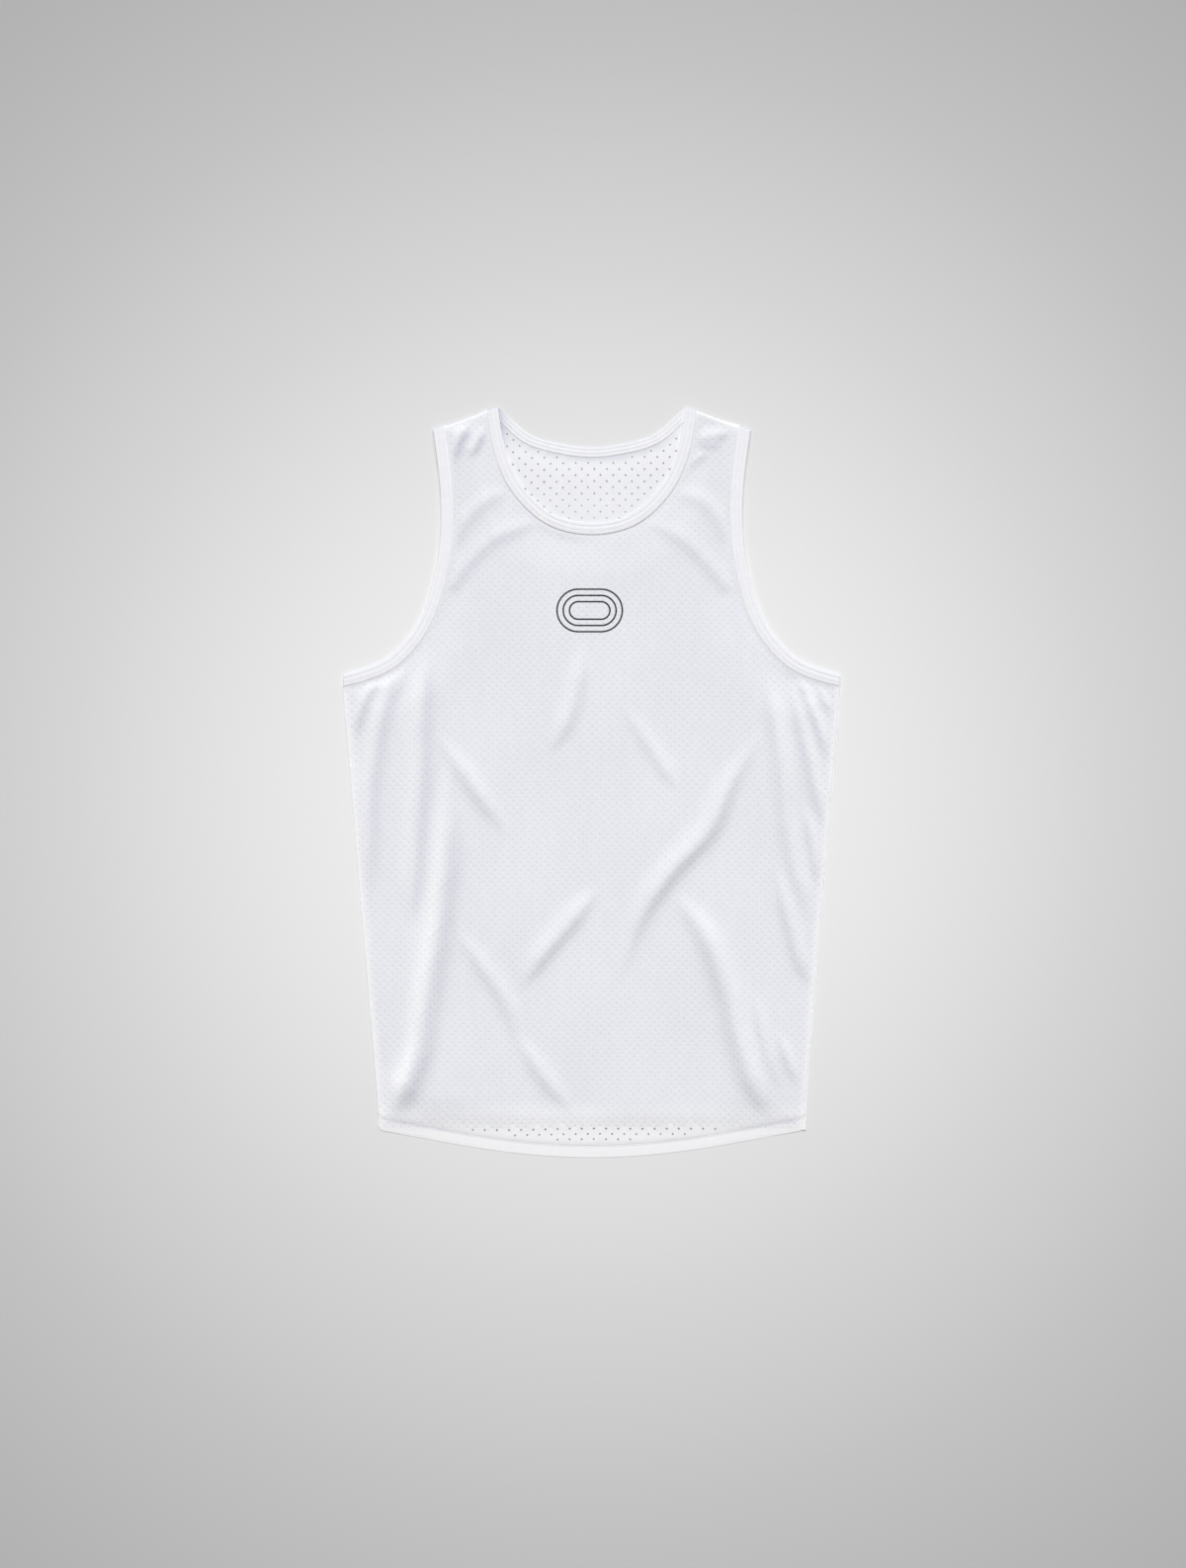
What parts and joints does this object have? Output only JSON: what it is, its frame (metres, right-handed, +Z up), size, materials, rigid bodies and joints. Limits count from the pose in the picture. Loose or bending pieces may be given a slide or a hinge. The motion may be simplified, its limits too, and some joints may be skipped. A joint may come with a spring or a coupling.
{
  "type": "running singlet",
  "caption": "Sleeveless mesh running top laid flat with its front up, with bound neck and armholes and a curved turned-up hem.",
  "frame": {"origin": "centre of the laid garment's outline, on the surface that it lies on", "axes": "+Y towards the neck, +Z up out of the front, +X to the wearer's left"},
  "size_m": [0.48, 0.7247, 0.0082],
  "materials": {
    "mesh_cloth": "soft matt white knitted polyester with small eyelets",
    "binding": "smooth white knitted binding with two rows of stitches",
    "print_ink": "matt black screen print"
  },
  "bodies": {
    "root": {"front_panel": "mesh_cloth", "back_panel": "mesh_cloth", "neck_binding": "binding", "armhole_binding_left": "binding", "armhole_binding_right": "binding"}
  },
  "joints": []
}
